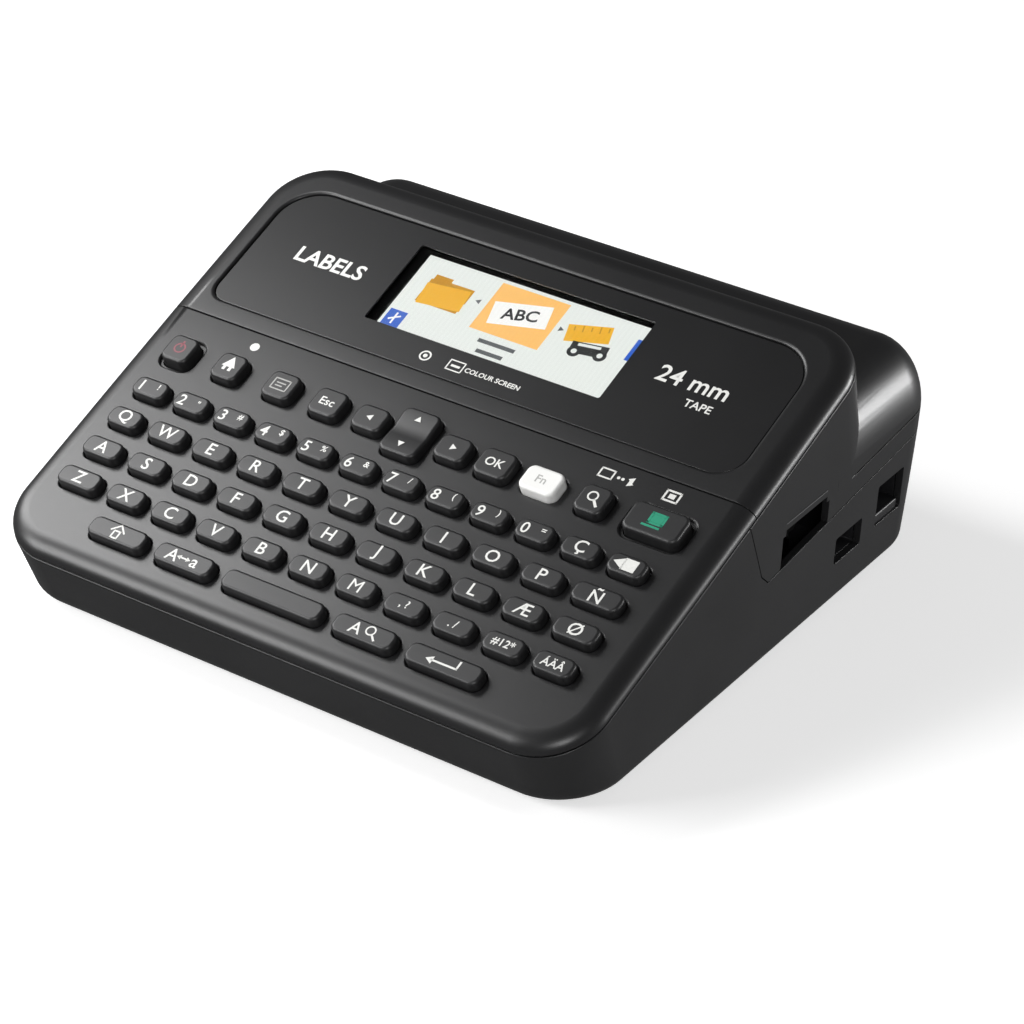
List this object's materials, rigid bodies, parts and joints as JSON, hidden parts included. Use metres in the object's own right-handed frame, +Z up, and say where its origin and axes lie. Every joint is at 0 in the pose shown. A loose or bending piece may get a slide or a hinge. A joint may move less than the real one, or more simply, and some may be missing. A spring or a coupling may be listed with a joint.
{
  "type": "label maker",
  "caption": "Wedge-shaped desktop label maker with a full keyboard, an inset colour screen, a tape exit slot at the side and a hinged back cover over tape and cells.",
  "frame": {"origin": "under the middle of the case, on the surface it stands on", "axes": "+X to the right of someone typing, +Y to the rear, +Z up"},
  "size_m": [0.201, 0.192, 0.082],
  "materials": {
    "case_abs": "satin moulded ABS with a fine grain",
    "panel_abs": "smooth satin ABS",
    "window": "clear gloss",
    "screen": "lit colour screen",
    "foot_rubber": "matt",
    "key_abs": "matt, softly rounded, with printed legends",
    "key_white": "matt",
    "silicone": "matt translucent",
    "board": "solder mask",
    "cassette": "satin",
    "label_tape": "satin",
    "ribbon": "gloss film",
    "steel": "plated sheet",
    "platen_rubber": "matt",
    "acetal": "moulded",
    "brass": "machined",
    "socket_plastic": "moulded",
    "cell_wrap": "shrink wrap"
  },
  "bodies": {
    "casing": {"lower_case": "case_abs", "keyboard_cover": "case_abs", "display_cover": "case_abs", "display_panel": "panel_abs", "screen_window": "window", "lcd_module": "screen", "rear_housing": "case_abs", "rubber_foot_1": "foot_rubber", "rubber_foot_2": "foot_rubber", "rubber_foot_3": "foot_rubber", "rubber_foot_4": "foot_rubber", "key_mat": "silicone", "main_board": "board", "cassette_shell": "cassette", "chassis_plate": "steel", "feed_motor": "steel", "usb_socket": "steel", "dc_socket": "socket_plastic", "aa_cell_1": "cell_wrap", "aa_cell_2": "cell_wrap", "aa_cell_3": "cell_wrap", "aa_cell_4": "cell_wrap", "aa_cell_5": "cell_wrap", "aa_cell_6": "cell_wrap", "case_screw_1": "steel", "case_screw_2": "steel", "case_screw_3": "steel", "case_screw_4": "steel"},
    "cover": {"back_cover": "case_abs"},
    "latch": {"cover_latch": "case_abs"},
    "shift_key_body": {"shift_key": "key_abs"},
    "caps_key_body": {"caps_key": "key_abs"},
    "space_key_body": {"space_key": "key_abs"},
    "style_key_body": {"style_key": "key_abs"},
    "enter_key_body": {"enter_key": "key_abs"},
    "power_key_body": {"power_key": "key_abs"},
    "home_key_body": {"home_key": "key_abs"},
    "file_key_body": {"file_key": "key_abs"},
    "escape_key_body": {"escape_key": "key_abs"},
    "left_key_body": {"left_key": "key_abs"},
    "right_key_body": {"right_key": "key_abs"},
    "ok_key_body": {"ok_key": "key_abs"},
    "function_key_body": {"function_key": "key_white"},
    "preview_key_body": {"preview_key": "key_abs"},
    "print_key_body": {"print_key": "key_abs"},
    "lower_letter_row_body": {"lower_letter_row": "key_abs"},
    "middle_letter_row_body": {"middle_letter_row": "key_abs"},
    "upper_letter_row_body": {"upper_letter_row": "key_abs"},
    "number_row_body": {"number_row": "key_abs"},
    "rocker": {"up_down_rocker": "key_abs"},
    "platen": {"platen_roller": "platen_rubber", "platen_gear": "acetal"},
    "idler": {"idler_gear": "acetal"},
    "pinion": {"motor_pinion": "brass"},
    "ribbon": {"ribbon_gear": "acetal", "ribbon_spool": "ribbon"},
    "tape": {"tape_spool": "label_tape"},
    "head": {"print_head": "steel"},
    "blade": {"cutter_blade": "steel"},
    "blade_drive": {"cutter_pinion": "acetal"}
  },
  "joints": [
    {"name": "cover_hinge", "type": "hinge", "parent": "casing", "child": "cover", "pos_m": [0, 0.096, 0.04745], "axis": [-1, 0, 0], "range_deg": [0, 75]},
    {"name": "latch_slide", "type": "slide", "parent": "cover", "child": "latch", "axis": [0, 1, 0], "range_m": [0, 0.0025], "stiffness_N_per_m": 400, "springref_m": -0.0005},
    {"name": "shift_key_press", "type": "slide", "parent": "casing", "child": "shift_key_body", "axis": [0, 0.3656, -0.9308], "range_m": [0, 0.0012], "stiffness_N_per_m": 400, "springref_m": -0.0003},
    {"name": "caps_key_press", "type": "slide", "parent": "casing", "child": "caps_key_body", "axis": [0, 0.3656, -0.9308], "range_m": [0, 0.0012], "stiffness_N_per_m": 400, "springref_m": -0.0003},
    {"name": "space_key_press", "type": "slide", "parent": "casing", "child": "space_key_body", "axis": [0, 0.3656, -0.9308], "range_m": [0, 0.0012], "stiffness_N_per_m": 400, "springref_m": -0.0003},
    {"name": "style_key_press", "type": "slide", "parent": "casing", "child": "style_key_body", "axis": [0, 0.3656, -0.9308], "range_m": [0, 0.0012], "stiffness_N_per_m": 400, "springref_m": -0.0003},
    {"name": "enter_key_press", "type": "slide", "parent": "casing", "child": "enter_key_body", "axis": [0, 0.3656, -0.9308], "range_m": [0, 0.0012], "stiffness_N_per_m": 400, "springref_m": -0.0003},
    {"name": "power_key_press", "type": "slide", "parent": "casing", "child": "power_key_body", "axis": [0, 0.3656, -0.9308], "range_m": [0, 0.0012], "stiffness_N_per_m": 400, "springref_m": -0.0003},
    {"name": "home_key_press", "type": "slide", "parent": "casing", "child": "home_key_body", "axis": [0, 0.3656, -0.9308], "range_m": [0, 0.0012], "stiffness_N_per_m": 400, "springref_m": -0.0003},
    {"name": "file_key_press", "type": "slide", "parent": "casing", "child": "file_key_body", "axis": [0, 0.3656, -0.9308], "range_m": [0, 0.0012], "stiffness_N_per_m": 400, "springref_m": -0.0003},
    {"name": "escape_key_press", "type": "slide", "parent": "casing", "child": "escape_key_body", "axis": [0, 0.3656, -0.9308], "range_m": [0, 0.0012], "stiffness_N_per_m": 400, "springref_m": -0.0003},
    {"name": "left_key_press", "type": "slide", "parent": "casing", "child": "left_key_body", "axis": [0, 0.3656, -0.9308], "range_m": [0, 0.0012], "stiffness_N_per_m": 400, "springref_m": -0.0003},
    {"name": "right_key_press", "type": "slide", "parent": "casing", "child": "right_key_body", "axis": [0, 0.3656, -0.9308], "range_m": [0, 0.0012], "stiffness_N_per_m": 400, "springref_m": -0.0003},
    {"name": "ok_key_press", "type": "slide", "parent": "casing", "child": "ok_key_body", "axis": [0, 0.3656, -0.9308], "range_m": [0, 0.0012], "stiffness_N_per_m": 400, "springref_m": -0.0003},
    {"name": "function_key_press", "type": "slide", "parent": "casing", "child": "function_key_body", "axis": [0, 0.3656, -0.9308], "range_m": [0, 0.0012], "stiffness_N_per_m": 400, "springref_m": -0.0003},
    {"name": "preview_key_press", "type": "slide", "parent": "casing", "child": "preview_key_body", "axis": [0, 0.3656, -0.9308], "range_m": [0, 0.0012], "stiffness_N_per_m": 400, "springref_m": -0.0003},
    {"name": "print_key_press", "type": "slide", "parent": "casing", "child": "print_key_body", "axis": [0, 0.3656, -0.9308], "range_m": [0, 0.0012], "stiffness_N_per_m": 400, "springref_m": -0.0003},
    {"name": "lower_letter_row_press", "type": "slide", "parent": "casing", "child": "lower_letter_row_body", "axis": [0, 0.3656, -0.9308], "range_m": [0, 0.0012], "stiffness_N_per_m": 900, "springref_m": -0.0003},
    {"name": "middle_letter_row_press", "type": "slide", "parent": "casing", "child": "middle_letter_row_body", "axis": [0, 0.3656, -0.9308], "range_m": [0, 0.0012], "stiffness_N_per_m": 900, "springref_m": -0.0003},
    {"name": "upper_letter_row_press", "type": "slide", "parent": "casing", "child": "upper_letter_row_body", "axis": [0, 0.3656, -0.9308], "range_m": [0, 0.0012], "stiffness_N_per_m": 900, "springref_m": -0.0003},
    {"name": "number_row_press", "type": "slide", "parent": "casing", "child": "number_row_body", "axis": [0, 0.3656, -0.9308], "range_m": [0, 0.0012], "stiffness_N_per_m": 900, "springref_m": -0.0003},
    {"name": "rocker_tilt", "type": "hinge", "parent": "casing", "child": "rocker", "pos_m": [0, -0.02462, 0.05192], "axis": [1, 0, 0], "range_deg": [-4, 4], "stiffness_Nm_per_rad": 0.15},
    {"name": "platen_spin", "type": "hinge", "parent": "casing", "child": "platen", "pos_m": [0.0839, 0, 0.02985], "axis": [0, 1, 0], "continuous": true},
    {"name": "idler_spin", "type": "hinge", "parent": "casing", "child": "idler", "pos_m": [0.07031, 0, 0.02351], "axis": [0, 1, 0], "continuous": true},
    {"name": "pinion_spin", "type": "hinge", "parent": "casing", "child": "pinion", "pos_m": [0.05775, 0, 0.02687], "axis": [0, 1, 0], "continuous": true},
    {"name": "ribbon_spin", "type": "hinge", "parent": "casing", "child": "ribbon", "pos_m": [0.06513, 0, 0.04283], "axis": [0, 1, 0], "continuous": true},
    {"name": "tape_spin", "type": "hinge", "parent": "casing", "child": "tape", "pos_m": [0.0349, 0, 0.02908], "axis": [0, 1, 0], "continuous": true},
    {"name": "head_release", "type": "hinge", "parent": "casing", "child": "head", "pos_m": [0.0805, 0.02, 0.049], "axis": [0, 1, 0], "range_deg": [-5, 0], "stiffness_Nm_per_rad": 0.2, "springref_deg": 5.73},
    {"name": "cutter_slide", "type": "slide", "parent": "casing", "child": "blade", "axis": [0, 0, -1], "range_m": [0, 0.008], "stiffness_N_per_m": 60, "springref_m": -0.002},
    {"name": "cutter_turn", "type": "hinge", "parent": "casing", "child": "blade_drive", "pos_m": [0.0943, -0.0006, 0.04115], "axis": [-1, 0, 0], "range_deg": [0, 80]}
  ],
  "couplings": [
    {"joint": "idler_spin", "follows": "platen_spin", "ratio": -0.66667},
    {"joint": "pinion_spin", "follows": "platen_spin", "ratio": 1.5},
    {"joint": "ribbon_spin", "follows": "platen_spin", "ratio": 0.54545},
    {"joint": "tape_spin", "follows": "platen_spin", "ratio": 0.33333},
    {"joint": "cutter_turn", "follows": "cutter_slide", "rad_per_m": 166.67}
  ]
}
